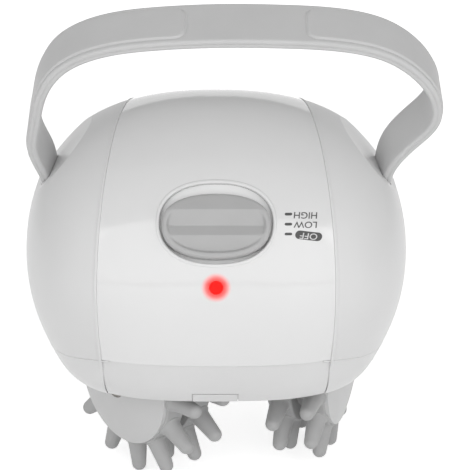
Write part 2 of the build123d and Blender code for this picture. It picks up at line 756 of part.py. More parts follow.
def power_led():
    """Light emitting diode behind the lens, with its two legs towards the board."""
    top = -LENS_LENGTH - LED_GAP
    foot = top - LED_LENGTH
    body = disc(LED_RADIUS, foot, top)
    body = fillet(body.edges().sort_by(Axis.Z)[-1], LED_ROUND)
    body += disc(LED_RADIUS + LED_FLANGE, foot, foot + 2 * LED_FLANGE)
    for x in (-LED_LEG_PITCH / 2, LED_LEG_PITCH / 2):
        body += Pos(x, 0) * disc(LED_LEG_RADIUS, foot - LED_LEG, foot + LED_FLANGE)
    return front_point(LED_Z).location * body


def strap_frame():
    """Plane of the strap's loop: X runs across the casing and Y up the leaning loop."""
    lean = radians(STRAP_LEAN)
    return Plane(origin=(0, 0, STRAP_FOOT_Z), x_dir=(1, 0, 0), z_dir=(0, -cos(lean), -sin(lean)))


def strap_solid(thickness, width, start):
    """Band along the strap's route; start moves its two ends along the legs."""
    route = [(STRAP_ROUTE[0][0], start)] + STRAP_ROUTE[1:-1] + [(STRAP_ROUTE[-1][0], start)]
    curve = Spline(*route, tangents=STRAP_END_WAYS)
    outer = []
    inner = []
    for step in range(STRAP_STEPS + 1):
        along = curve % (step / STRAP_STEPS)
        side = Vector(-along.Y, along.X) * (thickness / 2)
        outer.append(curve @ (step / STRAP_STEPS) + side)
        inner.append(curve @ (step / STRAP_STEPS) - side)
    ends = [Line(outer[-1], inner[-1]), Line(inner[0], outer[0])]
    band = make_face(Wire([Spline(*outer), ends[0], Spline(*inner), ends[1]]))
    return strap_frame().location * extrude(band, amount=width / 2, both=True)


def hand_strap():
    strap = strap_solid(STRAP_THICKNESS, STRAP_WIDTH, STRAP_END)
    for sign in (-1, 1):
        strap -= strap_screw_place(sign) * disc(STRAP_SCREW_RADIUS, 0, STRAP_SCREW_LENGTH)
    return strap


def strap_screw_place(sign):
    """Where a strap screw's head seats on its sleeve, with Z outwards through the strap."""
    seat = STRAP_FOOT_X - STRAP_THICKNESS / 2 - STRAP_GAP - SLEEVE_WALL
    return strap_frame().location * Pos(sign * seat, STRAP_SCREW_RISE) * Rot(0, sign * 90, 0)


def strap_screws():
    """Two screws through the strap's ends, with their heads inside the casing."""
    screws = []
    for sign in (-1, 1):
        shank = disc(STRAP_SCREW_RADIUS, 0, STRAP_SCREW_LENGTH)
        head = disc(2 * STRAP_SCREW_RADIUS, -STRAP_SCREW_HEAD, 0)
        screws.append(strap_screw_place(sign) * (shank + head))
    return Compound(children=screws)


def side_cover(cover, side, core):
    """Adds the strap's sleeve and the screw boss to a side cover and cuts their holes."""
    sign = ROLLER_SIDES[side]
    half = Pos(sign * FAR, 0, 0) * Box(2 * FAR, 4 * FAR, 4 * FAR)
    low_leg = strap_frame().location * Pos(0, STRAP_END - SLEEVE_FLOOR) * Box(
        4 * FAR, SLEEVE_RISE, 2 * FAR, align=(Align.CENTER, Align.MIN, Align.CENTER)
    )
    sleeve = strap_solid(
        STRAP_THICKNESS + 2 * (STRAP_GAP + SLEEVE_WALL),
        STRAP_WIDTH + 2 * (STRAP_GAP + SLEEVE_WALL),
        STRAP_END - STRAP_GAP - SLEEVE_WALL,
    )
    cover += sleeve & low_leg & half & core
    for x, y, way in CASE_SCREWS:
        if x * sign > 0:
            boss = Pos(x, y, FLOOR_PLATE) * extrude(Circle(BOSS_RADIUS), amount=BOSS_HEIGHT)
            rib = Pos(x, y, FLOOR_PLATE) * Rot(0, 0, way) * Box(
                RIB_REACH, RIB_THICKNESS, BOSS_HEIGHT, align=(Align.MIN, Align.CENTER, Align.MIN)
            )
            cover += (boss + rib) & core
            cover -= Pos(x, y, 0) * Cylinder(CASE_SCREW_RADIUS, 2 * (FLOOR_PLATE + CASE_SCREW_DEPTH))
    cover -= strap_solid(
        STRAP_THICKNESS + 2 * STRAP_GAP, STRAP_WIDTH + 2 * STRAP_GAP, STRAP_END - STRAP_GAP
    )
    cover -= strap_screw_place(sign) * disc(STRAP_SCREW_RADIUS, -OVERCUT, STRAP_SCREW_LENGTH)
    return cover - roller_plane(side).location * well_form(0)


def case_screws():
    """Three long screws from the underside into the side covers' bosses."""
    screws = []
    for x, y, _ in CASE_SCREWS:
        head = disc(CASE_HEAD_RADIUS, CASE_HEAD_SINK, CASE_HEAD_SINK + CASE_HEAD)
        tip = FLOOR_PLATE + CASE_SCREW_DEPTH - 2 * SCREW_TIP_ROOM
        shank = disc(CASE_SCREW_RADIUS, CASE_HEAD_SINK + CASE_HEAD, tip)
        screws.append(Pos(x, y) * (head + shank))
    return Compound(children=screws)


def battery_cells():
    """Four round cells, two beside two, turned end for end in each layer."""
    cells = []
    for layer in range(2):
        for row in range(2):
            way = 1 if (layer + row) % 2 else -1
            body = disc(CELL_RADIUS, -CELL_LENGTH / 2, CELL_LENGTH / 2)
            body = fillet(body.edges(), CELL_ROUND)
            nub = disc(CELL_NUB_RADIUS, CELL_LENGTH / 2, CELL_LENGTH / 2 + CELL_NUB)
            height = DOOR_THICKNESS + CELL_PLAY + CELL_RADIUS + layer * CELL_PITCH
            place = Pos(0, CELL_FRONT_Y + row * CELL_PITCH, height)
            cells.append(place * Rot(0, 90 * way, 0) * (body + nub))
    return Compound(children=cells)


def battery_contacts():
    """Sprung plates at the two ends of the battery box, with a cone spring for each cell."""
    contacts = []
    wall = bay_half_x()
    reach = wall - CONTACT_PLATE - CELL_LENGTH / 2
    middle_y = CELL_FRONT_Y + CELL_PITCH / 2
    middle_z = DOOR_THICKNESS + CELL_PLAY + CELL_RADIUS + CELL_PITCH / 2
    for end in (-1, 1):
        plate = Box(CONTACT_PLATE, 2 * CELL_RADIUS + CELL_PITCH - CONTACT_MARGIN, CELL_PITCH + CELL_RADIUS)
        plate = Pos(end * (wall - CONTACT_PLATE / 2), middle_y, middle_z) * plate
        for layer in range(2):
            for row in range(2):
                way = 1 if (layer + row) % 2 else -1
                spring = Cone(CELL_NUB_RADIUS + SPRING_FLARE, CELL_NUB_RADIUS, reach - CONTACT_PLAY)
                if way == end:
                    spring = Cylinder(CELL_NUB_RADIUS, reach - CELL_NUB - CONTACT_PLAY)
                length = spring.bounding_box().size.Z
                seat = Pos(
                    end * (wall - CONTACT_PLATE - length / 2),
                    CELL_FRONT_Y + row * CELL_PITCH,
                    DOOR_THICKNESS + CELL_PLAY + CELL_RADIUS + layer * CELL_PITCH,
                )
                plate += seat * Rot(0, -90 * end, 0) * spring
        contacts.append(plate)
    return Compound(children=contacts)


def battery_door():
    """Flush door of the battery box with a thumb groove near its back edge."""
    length = CELL_PITCH + 2 * CELL_RADIUS + 2 * CELL_PLAY - 2 * FIT_GAP
    middle = CELL_FRONT_Y + CELL_PITCH / 2
    door = Pos(0, middle, 0) * Box(
        2 * (bay_half_x() - FIT_GAP), length, DOOR_THICKNESS, align=(Align.CENTER, Align.CENTER, Align.MIN)
    )
    door = fillet(door.edges().filter_by(Axis.Z), DOOR_ROUND)
    groove = Rot(0, 90, 0) * Cylinder(DOOR_GROOVE_RADIUS, DOOR_GROOVE_LENGTH)
    groove_y = middle + length / 2 - DOOR_GROOVE_INSET
    return door - Pos(0, groove_y, DOOR_GROOVE_DEPTH - DOOR_GROOVE_RADIUS) * groove


def catch_box(grow):
    """Block through the front apron where the snap tab sits."""
    return Pos(CATCH_X, -HALF_DEPTH, -grow) * Box(
        CATCH_WIDTH + 2 * grow,
        HALF_DEPTH,
        CATCH_HEIGHT + 2 * grow,
        align=(Align.CENTER, Align.CENTER, Align.MIN),
    )


def front_catch():
    """Snap tab in the middle of the front apron's lower edge, on the edge of the floor."""
    skin = casing_form(LOWER_STEP - CATCH_PROUD) - casing_form(WALL + FIT_GAP, UNDERCUT)
    return skin & catch_box(0)


def motor_saddles():
    """Ribs on the roller wells that the gear motors rest on."""
    saddles = []
    top = train_heights()[-1] - MOTOR_RADIUS - FIT_GAP
    foot = FINGER_REACH + FINGER_TIP
    for side in ROLLER_SIDES:
        rib = Pos(0, foot, -ARM_THICKNESS / 2 - GEARBOX_LENGTH - SADDLE_MARGIN) * Box(
            2 * MOTOR_RADIUS,
            top - foot,
            GEARBOX_LENGTH - 2 * SADDLE_MARGIN,
            align=(Align.CENTER, Align.MIN, Align.MIN),
        )
        saddles.append(roller_plane(side).location * rib)
    return saddles


def roller_nodes(side):
    """Every piece of one roller, its gear arm and its motor, by node name."""
    place = roller_plane(side).location
    outer_phase, inner_phase = ROLLER_PHASES[side]
    cap, floor = roller_cap()
    phases = train_phases()
    heights = train_heights()
    pieces = {
        "outer_finger_wheel": finger_wheel(1, outer_phase),
        "inner_finger_wheel": finger_wheel(-1, inner_phase),
        "outer_wheel_centre": hub_disc(1),
        "inner_wheel_centre": hub_disc(-1),
        "roller_cap": cap,
        "cap_screw": cap_screw(floor),
        "roller_axle": axle(floor),
        "arm_outer_plate": arm_plate(1),
        "arm_inner_plate": arm_plate(-1),
        "arm_rim": arm_rim(),
        "idler_pins": idler_pins(),
        "axle_bushes": axle_bushes(),
        "gear_motor": gear_motor(),
        "motor_shaft": pinion_shaft(),
    }
    bores = {"axle_gear": AXLE_RADIUS, "motor_pinion": MOTOR_SHAFT_RADIUS}
    for (name, teeth), height, phase in zip(TRAIN, heights, phases):
        bore = bores.get(name, PIN_RADIUS + SHAFT_PLAY)
        pieces[name] = Pos(0, height) * spur_gear(teeth, bore, phase)
    return {side + "_" + name: place * piece for name, piece in pieces.items()}


def all_nodes():
    centre, sides = main_covers()
    # Bosses and sleeves end in the middle of the wall, so no two faces lie on each other.
    core = trimmed_form(WALL / 2)
    nodes = {"centre_cover": centre_cover(centre, core)}
    for side in ROLLER_SIDES:
        nodes[side + "_side_cover"] = side_cover(sides[side], side, core)
    nodes["lower_housing"] = lower_housing(trimmed_form(WALL + FIT_GAP, UNDERCUT))
    nodes["front_catch"] = front_catch()
    nodes["battery_door"] = battery_door()
    nodes["battery_cells"] = battery_cells()
    nodes["battery_contacts"] = battery_contacts()
    nodes["hand_strap"] = hand_strap()
    nodes["strap_screws"] = strap_screws()
    nodes["case_screws"] = case_screws()
    nodes["slide_knob"] = slide_knob()
    nodes["switch_lever"] = switch_lever()
    nodes["slide_switch"] = slide_switch()
    nodes["control_board"] = control_board()
    nodes["board_screws"] = board_screws()
    nodes["light_lens"] = light_lens()
    nodes["power_led"] = power_led()
    for side in ROLLER_SIDES:
        nodes.update(roller_nodes(side))
    return nodes


def main():
    os.makedirs("parts", exist_ok=True)
    for name, solid in all_nodes().items():
        export_step(solid, "parts/" + name + ".step")
    for side in ROLLER_SIDES:
        place = roller_plane(side)
        print(side, "axle", place.origin, "along", place.z_dir)
        for (name, _), height in zip(TRAIN, train_heights()):
            print(side, name, place.from_local_coords(Vector(0, height, 0)))
    slide = knob_plane()
    print("knob", slide.origin, "slides along", slide.y_dir, "out", slide.z_dir)


main()
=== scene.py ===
from math import cos, pi, radians, sin

import bmesh
import bpy
import numpy as np
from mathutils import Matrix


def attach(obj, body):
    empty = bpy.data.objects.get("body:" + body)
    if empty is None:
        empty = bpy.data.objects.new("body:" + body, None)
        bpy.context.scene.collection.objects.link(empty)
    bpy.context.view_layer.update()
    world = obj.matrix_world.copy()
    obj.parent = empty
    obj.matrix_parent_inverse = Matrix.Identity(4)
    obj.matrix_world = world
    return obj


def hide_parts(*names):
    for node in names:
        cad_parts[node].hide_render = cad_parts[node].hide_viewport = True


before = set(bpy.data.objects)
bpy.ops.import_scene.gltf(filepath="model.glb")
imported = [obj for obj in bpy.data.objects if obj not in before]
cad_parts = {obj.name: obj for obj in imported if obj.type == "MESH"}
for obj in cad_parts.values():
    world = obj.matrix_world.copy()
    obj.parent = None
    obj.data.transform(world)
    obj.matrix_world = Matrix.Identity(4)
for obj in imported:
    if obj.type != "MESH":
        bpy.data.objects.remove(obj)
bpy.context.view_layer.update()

# The viewpoint: 20 degrees above the level and straight in front of the switch, 0.62 m from
# the casing's widest plane. The small shift puts the casing a little left in the frame.
VIEW_TILT = radians(20.0)
VIEW_DISTANCE = 0.62
VIEW_LENS = 118.7
VIEW_SHIFT = (0.040, 0.011)
WIDEST_HEIGHT = 0.046

lens_data = bpy.data.cameras.new("front_camera")
lens_data.sensor_width = 36.0
lens_data.lens = VIEW_LENS
lens_data.shift_x, lens_data.shift_y = VIEW_SHIFT
camera = bpy.data.objects.new("front_camera", lens_data)
camera.location = (
    0.0,
    -VIEW_DISTANCE * cos(VIEW_TILT),
    WIDEST_HEIGHT + VIEW_DISTANCE * sin(VIEW_TILT),
)
camera.rotation_euler = (pi / 2 - VIEW_TILT, 0.0, 0.0)
scene = bpy.context.scene
scene.collection.objects.link(camera)
scene.camera = camera
scene.view_settings.view_transform = "Standard"


# The studio: an even pale tent with a large soft box in front, and weak ones behind and at each
# side, so that the dome's top reads darker than its front. The tent is white where it is seen.
def linear(hex_code):
    """Turns an sRGB hex colour into linear values with an alpha of one."""
    channels = [int(hex_code[i:i + 2], 16) / 255.0 for i in (1, 3, 5)]
    return [c / 12.92 if c <= 0.04045 else ((c + 0.055) / 1.055) ** 2.4 for c in channels] + [1.0]


def add_node(tree, kind, inputs=None, **settings):
    """Adds a node with its settings; an input takes a value or another node's socket.

    Inputs go by name, or by number where two of them share a name.
    """
    node = tree.nodes.new(kind)
    for name, value in settings.items():
        setattr(node, name, value)
    for name, value in (inputs or {}).items():
        if isinstance(value, bpy.types.NodeSocket):
            tree.links.new(value, node.inputs[name])
        else:
            node.inputs[name].default_value = value
    return node


def seen_by_eye(tree):
    """The light path's node, and one for rays from the camera or through clear plastic, else zero."""
    path = add_node(tree, "ShaderNodeLightPath")
    direct = add_node(
        tree,
        "ShaderNodeMath",
        {0: path.outputs["Is Camera Ray"], 1: path.outputs["Is Transmission Ray"]},
        operation="MAXIMUM",
    )
    return path, direct.outputs[0]


# The tent's light on the object, and what shiny pieces mirror of it: a front half and a slightly
# dimmer rear half, which meet in a soft edge overhead.
TENT_LIGHT = 0.45
TENT_FRONT = 0.50
TENT_REAR = 0.42
TENT_EDGE = 0.05
TENT_EDGE_HALF = 0.05

tent = bpy.data.worlds.new("studio_tent")
tent.use_nodes = True
tent_tree = tent.node_tree
tent_tree.nodes.clear()
tent_path, tent_seen = seen_by_eye(tent_tree)
lit = add_node(tent_tree, "ShaderNodeBackground", {"Color": linear("#FFFFFF"), "Strength": TENT_LIGHT})
tent_way = add_node(tent_tree, "ShaderNodeTexCoord").outputs["Generated"]
tent_axes = add_node(tent_tree, "ShaderNodeSeparateXYZ", {0: tent_way})
tent_dim = add_node(
    tent_tree,
    "ShaderNodeMapRange",
    {
        "Value": tent_axes.outputs["Y"],
        "From Min": TENT_EDGE - TENT_EDGE_HALF,
        "From Max": TENT_EDGE + TENT_EDGE_HALF,
        "To Min": TENT_FRONT,
        "To Max": TENT_REAR,
    },
    interpolation_type="SMOOTHSTEP",
)
mirrored = add_node(
    tent_tree, "ShaderNodeBackground", {"Color": linear("#FFFFFF"), "Strength": tent_dim.outputs[0]}
)
white = add_node(tent_tree, "ShaderNodeBackground", {"Color": linear("#FFFFFF"), "Strength": 1.0})
glossy_mix = add_node(
    tent_tree,
    "ShaderNodeMixShader",
    {0: tent_path.outputs["Is Glossy Ray"], 1: lit.outputs[0], 2: mirrored.outputs[0]},
)
tent_mix = add_node(
    tent_tree, "ShaderNodeMixShader", {0: tent_seen, 1: glossy_mix.outputs[0], 2: white.outputs[0]}
)
add_node(tent_tree, "ShaderNodeOutputWorld", {"Surface": tent_mix.outputs[0]})
scene.world = tent


def soft_lamp(name, place, turn, size, power):
    """A rectangular soft box: place and size in metres, turn in degrees and power in watts."""
    data = bpy.data.lights.new(name, "AREA")
    data.shape = "RECTANGLE"
    data.size, data.size_y = size
    data.energy = power
    lamp = bpy.data.objects.new(name, data)
    lamp.location = place
    lamp.rotation_euler = [radians(angle) for angle in turn]
    scene.collection.objects.link(lamp)


soft_lamp("front_softbox", (0.0, -0.97, 0.45), (65, 0, 0), (2.3, 0.96), 7.2)
soft_lamp("left_softbox", (-0.80, -0.45, 0.30), (70, 0, -60), (0.4, 0.7), 0.4)
soft_lamp("rear_softbox", (0.0, 1.0, 0.25), (-80, 0, 0), (1.2, 0.5), 0.9)
soft_lamp("right_softbox", (0.80, -0.45, 0.30), (70, 0, 60), (0.4, 0.7), 0.8)


# The table under the object: matt white paper. The little light it gives of its own is only
# seen, so that the paper is white in the picture and still keeps the object's shadow.
def mesh_piece(name, points, faces, closed=True):
    """Makes a smooth object of vertices in metres and faces; a closed shell is turned outwards."""
    mesh = bpy.data.meshes.new(name)
    mesh.from_pydata(np.asarray(points).tolist(), [], faces)
    if closed:
        shell = bmesh.new()
        shell.from_mesh(mesh)
        bmesh.ops.recalc_face_normals(shell, faces=shell.faces)
        shell.to_mesh(mesh)
        shell.free()
    mesh.polygons.foreach_set("use_smooth", [True] * len(mesh.polygons))
    piece = bpy.data.objects.new(name, mesh)
    scene.collection.objects.link(piece)
    return piece


TABLE_HEIGHT = -0.0464
TABLE_HALF = 2.0
PAPER_LIGHT = 0.62

table_corners = TABLE_HALF * np.array([[-1, -1, 0], [1, -1, 0], [1, 1, 0], [-1, 1, 0]])
table_top = mesh_piece("table_top", table_corners + [0, 0, TABLE_HEIGHT], [[0, 1, 2, 3]], closed=False)
paper = bpy.data.materials.new("matt_white_paper")
paper.use_nodes = True
paper_tree = paper.node_tree
paper_tree.nodes.clear()
paper_path, paper_seen = seen_by_eye(paper_tree)
paper_glow = add_node(
    paper_tree,
    "ShaderNodeMath",
    {0: paper_seen, 1: paper_path.outputs["Is Glossy Ray"]},
    operation="MAXIMUM",
)
paper_lift = add_node(
    paper_tree, "ShaderNodeMath", {0: paper_glow.outputs[0], 1: PAPER_LIGHT}, operation="MULTIPLY"
)
paper_matt = add_node(paper_tree, "ShaderNodeBsdfDiffuse", {"Color": linear("#F4F4F4")})
paper_light = add_node(paper_tree, "ShaderNodeEmission", {"Strength": paper_lift.outputs[0]})
paper_sum = add_node(paper_tree, "ShaderNodeAddShader", {0: paper_matt.outputs[0], 1: paper_light.outputs[0]})
add_node(paper_tree, "ShaderNodeOutputMaterial", {"Surface": paper_sum.outputs[0]})
table_top.data.materials.append(paper)


# The centre cover: glossy white ABS from a polished mould, which gives clear reflections with a
# faint ripple. The light shines red through the thin wall round its lens.
def surface(name, colour, roughness, settings=None):
    """A material with one colour and roughness, and the skin that a pattern is put on.

    The skin is the material's node tree, its shader and the object's own coordinates.
    """
    material = bpy.data.materials.new(name)
    material.use_nodes = True
    tree = material.node_tree
    shader = tree.nodes["Principled BSDF"]
    shader.inputs["Base Color"].default_value = linear(colour)
    shader.inputs["Roughness"].default_value = roughness
    for label, value in (settings or {}).items():
        shader.inputs[label].default_value = value
    place = add_node(tree, "ShaderNodeTexCoord").outputs["Object"]
    return material, (tree, shader, place)


def texture_scale(millimetres):
    """Noise scale at which one spot of the pattern is that wide."""
    return 1000.0 / millimetres


def mottled(skin, spot, light, dark, smooth, rough):
    """Two close tones and two roughnesses that drift into each other in spots of the given mm."""
    tree, shader, place = skin
    cloud = add_node(
        tree, "ShaderNodeTexNoise", {"Vector": place, "Scale": texture_scale(spot), "Detail": 4.0}
    )
    tones = add_node(
        tree,
        "ShaderNodeMix",
        {"Factor": cloud.outputs["Fac"], 6: linear(light), 7: linear(dark)},
        data_type="RGBA",
    )
    sheen = add_node(
        tree, "ShaderNodeMapRange", {"Value": cloud.outputs["Fac"], "To Min": smooth, "To Max": rough}
    )
    tree.links.new(tones.outputs[2], shader.inputs["Base Color"])
    tree.links.new(sheen.outputs[0], shader.inputs["Roughness"])
    return tones


def grained(skin, grain, depth):
    """Bump of fine grain, with its width and depth in mm."""
    tree, shader, place = skin
    spots = add_node(
        tree, "ShaderNodeTexNoise", {"Vector": place, "Scale": texture_scale(grain), "Detail": 2.0}
    )
    relief = add_node(
        tree, "ShaderNodeBump", {"Height": spots.outputs["Fac"], "Distance": depth / 1000.0, "Strength": 1.0}
    )
    tree.links.new(relief.outputs[0], shader.inputs["Normal"])


def wear(material, *nodes):
    """Puts the material on CAD nodes."""
    for node in nodes:
        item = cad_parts[node]
        item.data.materials.clear()
        item.data.materials.append(material)


LIGHT_POINT = (0.0, -0.06579, 0.0517)
LIGHT_RADIUS = 0.0016
GLOW_RADIUS = 0.0058
GLOW_POWER = 2.2
GLOW_STRENGTH = 0.35

gloss_abs, gloss_skin = surface(
    "gloss_white_abs", "#E8E8E8", 0.09, {"Coat Weight": 1.0, "Coat Roughness": 0.10}
)
gloss_tree, gloss_shader, gloss_place = gloss_skin
gloss_tones = mottled(gloss_skin, 40.0, "#E8E8E8", "#E3E3E3", 0.10, 0.15)
grained(gloss_skin, 2.5, 0.002)
light_distance = add_node(
    gloss_tree,
    "ShaderNodeVectorMath",
    {0: gloss_place, 1: LIGHT_POINT},
    operation="DISTANCE",
)
glow_reach = add_node(
    gloss_tree,
    "ShaderNodeMapRange",
    {"Value": light_distance.outputs["Value"], "From Min": LIGHT_RADIUS, "From Max": GLOW_RADIUS},
    interpolation_type="SMOOTHSTEP",
)
glow_loss = add_node(
    gloss_tree, "ShaderNodeMath", {0: glow_reach.outputs[0], 1: GLOW_POWER}, operation="POWER"
)
glow = add_node(gloss_tree, "ShaderNodeMath", {0: 1.0, 1: glow_loss.outputs[0]}, operation="SUBTRACT")
glow_red = add_node(
    gloss_tree,
    "ShaderNodeMix",
    {"Factor": glow.outputs[0], 6: gloss_tones.outputs[2], 7: linear("#FF2A22")},
    data_type="RGBA",
)
gloss_tree.links.new(glow_red.outputs[2], gloss_shader.inputs["Base Color"])
gloss_shader.inputs["Emission Color"].default_value = linear("#FF1A12")
glow_strength = add_node(
    gloss_tree, "ShaderNodeMath", {0: glow.outputs[0], 1: GLOW_STRENGTH}, operation="MULTIPLY"
)
gloss_tree.links.new(glow_strength.outputs[0], gloss_shader.inputs["Emission Strength"])
wear(gloss_abs, "centre_cover")


# The side covers, the lower housing with its snap tab and the battery door: satin white ABS from
# a lightly blasted mould, which spreads the reflections and shows a very fine grain close up.
satin_abs, satin_skin = surface("satin_white_abs", "#E0E0E0", 0.33)
mottled(satin_skin, 30.0, "#E3E3E3", "#DDDDDD", 0.30, 0.36)
grained(satin_skin, 0.6, 0.006)
wear(satin_abs, "left_side_cover", "right_side_cover", "lower_housing", "front_catch", "battery_door")


# The beads of the side covers, moulded with them in the same satin ABS: a low rounded edge of
# 1.2 mm along each seam, half as wide over the crown, which hides how the two mouldings meet, and
# a fine line that runs from the parting line at the front round the side to the back.
HALF_WIDTH = 0.0744
HALF_DEPTH = 0.0661
DOME_HEIGHT = 0.0603
SIDE_POWER = 2.36
FRONT_POWER = 1.9
BELLY_SIDE = 0.0768
BELLY_FRONT = 0.0758
WIDEST_PLAN_POWER = 2.9
CROWN_PLAN_POWER = 2.18
SEAM_X = 0.0354
SEAM_SLOPE = 0.132
SEAM_CENTRE = 0.040
SEAM_SEARCH = (0.01, 0.12)
HALVINGS = 24
SLOPE_STEP = 0.00002
BEAD_REACH = radians(125.0)
BEAD_MIDDLE = 0.0005
BEAD_HALF = 0.0006
BEAD_RISE = 0.00034
BEAD_ROOT = 0.0005
BEAD_POWER = 0.4
CROWN_HALF = radians(25.0)
CROWN_FADE = radians(45.0)
CROWN_WIDTH = 0.5
PARTING_HEIGHT = 0.0188
LINE_DROP = 0.0060
LINE_START = radians(26.5)
LINE_HALF = 0.00028
LINE_RISE = 0.00012


def smooth_step(share):
    """Goes from zero to one without a kink: 3 s^2 - 2 s^3, with s held between zero and one."""
    share = np.clip(share, 0, 1)
    return share * share * (3 - 2 * share)


def plan_at(z):
    """Half width, half depth and power of the casing's superellipse plan at height z.

    Above the widest plane both halves follow (1 - c^n)^(1/n), where c is the share of the
    dome's height, and below it they follow an ellipse.
    """
    climb = np.clip((z - WIDEST_HEIGHT) / DOME_HEIGHT, 0.0, 0.9999)
    drop = np.clip(WIDEST_HEIGHT - z, 0.0, None)
    half_x = HALF_WIDTH * (1 - climb**SIDE_POWER) ** (1 / SIDE_POWER)
    half_y = HALF_DEPTH * (1 - climb**FRONT_POWER) ** (1 / FRONT_POWER)
    half_x = half_x * np.sqrt(1 - (drop / BELLY_SIDE) ** 2)
    half_y = half_y * np.sqrt(1 - (drop / BELLY_FRONT) ** 2)
    return half_x, half_y, WIDEST_PLAN_POWER + (CROWN_PLAN_POWER - WIDEST_PLAN_POWER) * climb


def dome_measure(point):
    """Below one inside the casing's form and above one outside: |x/a|^n + |y/b|^n."""
    half_x, half_y, power = plan_at(point[..., 2])
    return np.abs(point[..., 0] / half_x) ** power + np.abs(point[..., 1] / half_y) ** power


def seam_point(side, angle, reach):
    """Point of a seam's plane at an angle from straight up, at a distance from its centre."""
    y = reach * np.sin(angle)
    return np.stack([side * (SEAM_X - SEAM_SLOPE * y), y, SEAM_CENTRE + reach * np.cos(angle)], axis=-1)


def band_faces(rows, columns, close_rows=False):
    """Quads between neighbouring rows of a grid whose columns go round."""
    row = np.arange(rows if close_rows else rows - 1)[:, None]
    here = row * columns
    there = ((row + 1) % rows) * columns
    step = np.arange(columns)[None, :]
    after = (step + 1) % columns
    corners = [here + step, here + after, there + after, there + step]
    return np.stack(corners, axis=-1).reshape(-1, 4).tolist()


def capped_faces(rows, columns):
    """Quads of a tube, then one face over each of its two ends."""
    last = (rows - 1) * columns
    return band_faces(rows, columns) + [list(range(columns)), list(range(last, last + columns))]


def bead_along(name, path, sideways, middle, half, rise):
    """Sweeps a low arch, a sine to the power of 0.4, along a path on the dome, set off sideways.

    The dome's outward direction is the slope of its measure, taken over a small step each way.
    """
    offsets = np.eye(3) * SLOPE_STEP
    slope = np.stack([dome_measure(path + step) - dome_measure(path - step) for step in offsets], axis=-1)
    out = slope / np.linalg.norm(slope, axis=1)[:, None]
    away = sideways - out * (out @ sideways)[:, None]
    turn = np.linspace(0, pi, 17)
    middle = np.broadcast_to(middle, len(path))[:, None]
    half = np.broadcast_to(half, len(path))[:, None]
    beyond = middle - half * np.cos(turn)
    above = rise * np.sin(turn) ** BEAD_POWER
    beyond = np.concatenate([beyond[:, :1], beyond, beyond[:, -1:]], axis=1)
    above = np.concatenate([[-BEAD_ROOT], above, [-BEAD_ROOT]])
    grid = path[:, None] + away[:, None] * beyond[..., None] + out[:, None] * above[:, None]
    bead = mesh_piece(name, grid.reshape(-1, 3), capped_faces(*beyond.shape))
    bead.data.materials.append(satin_abs)
    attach(bead, "casing")


def seam_path(side, steps=360):
    """Points of the dome along a seam, and the bead's width there as a share of its full width.

    At each angle from straight up the distance to the dome is found by halving an interval.
    """
    angle = np.linspace(-BEAD_REACH, BEAD_REACH, steps)
    low, high = (np.full(steps, limit) for limit in SEAM_SEARCH)
    for _ in range(HALVINGS):
        middle = (low + high) / 2
        inside = dome_measure(seam_point(side, angle, middle)) < 1
        low = np.where(inside, middle, low)
        high = np.where(inside, high, middle)
    full = smooth_step((np.abs(angle) - CROWN_HALF) / CROWN_FADE)
    return seam_point(side, angle, low), CROWN_WIDTH + (1 - CROWN_WIDTH) * full


def side_line_path(side, steps=200):
    """Points x = a sin(t)^(2/n), y = -b cos(t)^(2/n) of the plan, at a height that sinks by a sine."""
    turn = np.linspace(LINE_START, pi - LINE_START, steps)
    share = (turn - LINE_START) / (pi - 2 * LINE_START)
    z = PARTING_HEIGHT - LINE_DROP * np.sin(pi * share)
    half_x, half_y, power = plan_at(z)
    x = side * half_x * np.sin(turn) ** (2 / power)
    y = -half_y * np.sign(np.cos(turn)) * np.abs(np.cos(turn)) ** (2 / power)
    return np.stack([x, y, z], axis=-1)


for name, side in (("left", -1), ("right", 1)):
    seam, fade = seam_path(side)
    sideways = np.array([side, SEAM_SLOPE, 0.0]) / np.hypot(1.0, SEAM_SLOPE)
    bead_along(name + "_seam_bead", seam, sideways, fade * BEAD_MIDDLE, fade * BEAD_HALF, BEAD_RISE)
    upwards = np.array([0.0, 0.0, 1.0])
    bead_along(name + "_side_line", side_line_path(side), upwards, 0.0, LINE_HALF, LINE_RISE)


# The rim of the switch recess: a rounded lip of the cover's own gloss white, moulded round the
# oval pocket. It follows the dome outside and drops to the pocket's floor inside.
RECESS_HEIGHT = 0.0739
RECESS_HALF = (0.0207, 0.01515)
RECESS_FLOOR = -0.0034
OVAL_POWER = 2.3
RISE_SEARCH = (-0.012, 0.002)
# Steps of the lip in mm: inwards from the pocket's edge, and out from the dome.
LIP_STEPS = [
    (-1.1, -0.3), (-1.1, 0.0), (-0.7, 0.1), (-0.3, 0.11),
    (0.0, 0.02), (0.2, -0.16), (0.32, -0.36), (0.38, -0.6),
]
# The lip's two feet stand under the pocket's floor, before its wall and behind it.
LIP_FEET = (0.0004, -0.0005)
LIP_SINK = 0.0002


def dome_front(x, z):
    """The dome's front at x and z, solved from the same plan as its measure."""
    half_x, half_y, power = plan_at(z)
    return -half_y * (1 - np.abs(x / half_x) ** power) ** (1 / power)


# The switch's own plane touches the dome in the middle of the recess.
front_run = dome_front(0.0, RECESS_HEIGHT + SLOPE_STEP) - dome_front(0.0, RECESS_HEIGHT - SLOPE_STEP)
SWITCH_UP = np.array([0.0, front_run, 2 * SLOPE_STEP]) / np.hypot(front_run, 2 * SLOPE_STEP)
SWITCH_OUT = np.array([0.0, -SWITCH_UP[2], SWITCH_UP[1]])
SWITCH_ORIGIN = np.array([0.0, dome_front(0.0, RECESS_HEIGHT), RECESS_HEIGHT])


def switch_point(across, up, out):
    """Points of the switch's own plane, given across, up the slope and out of it, in metres."""
    across, up, out = np.broadcast_arrays(across, up, out)
    sideways = np.array([1.0, 0.0, 0.0])
    return (
        SWITCH_ORIGIN
        + across[..., None] * sideways
        + up[..., None] * SWITCH_UP
        + out[..., None] * SWITCH_OUT
    )


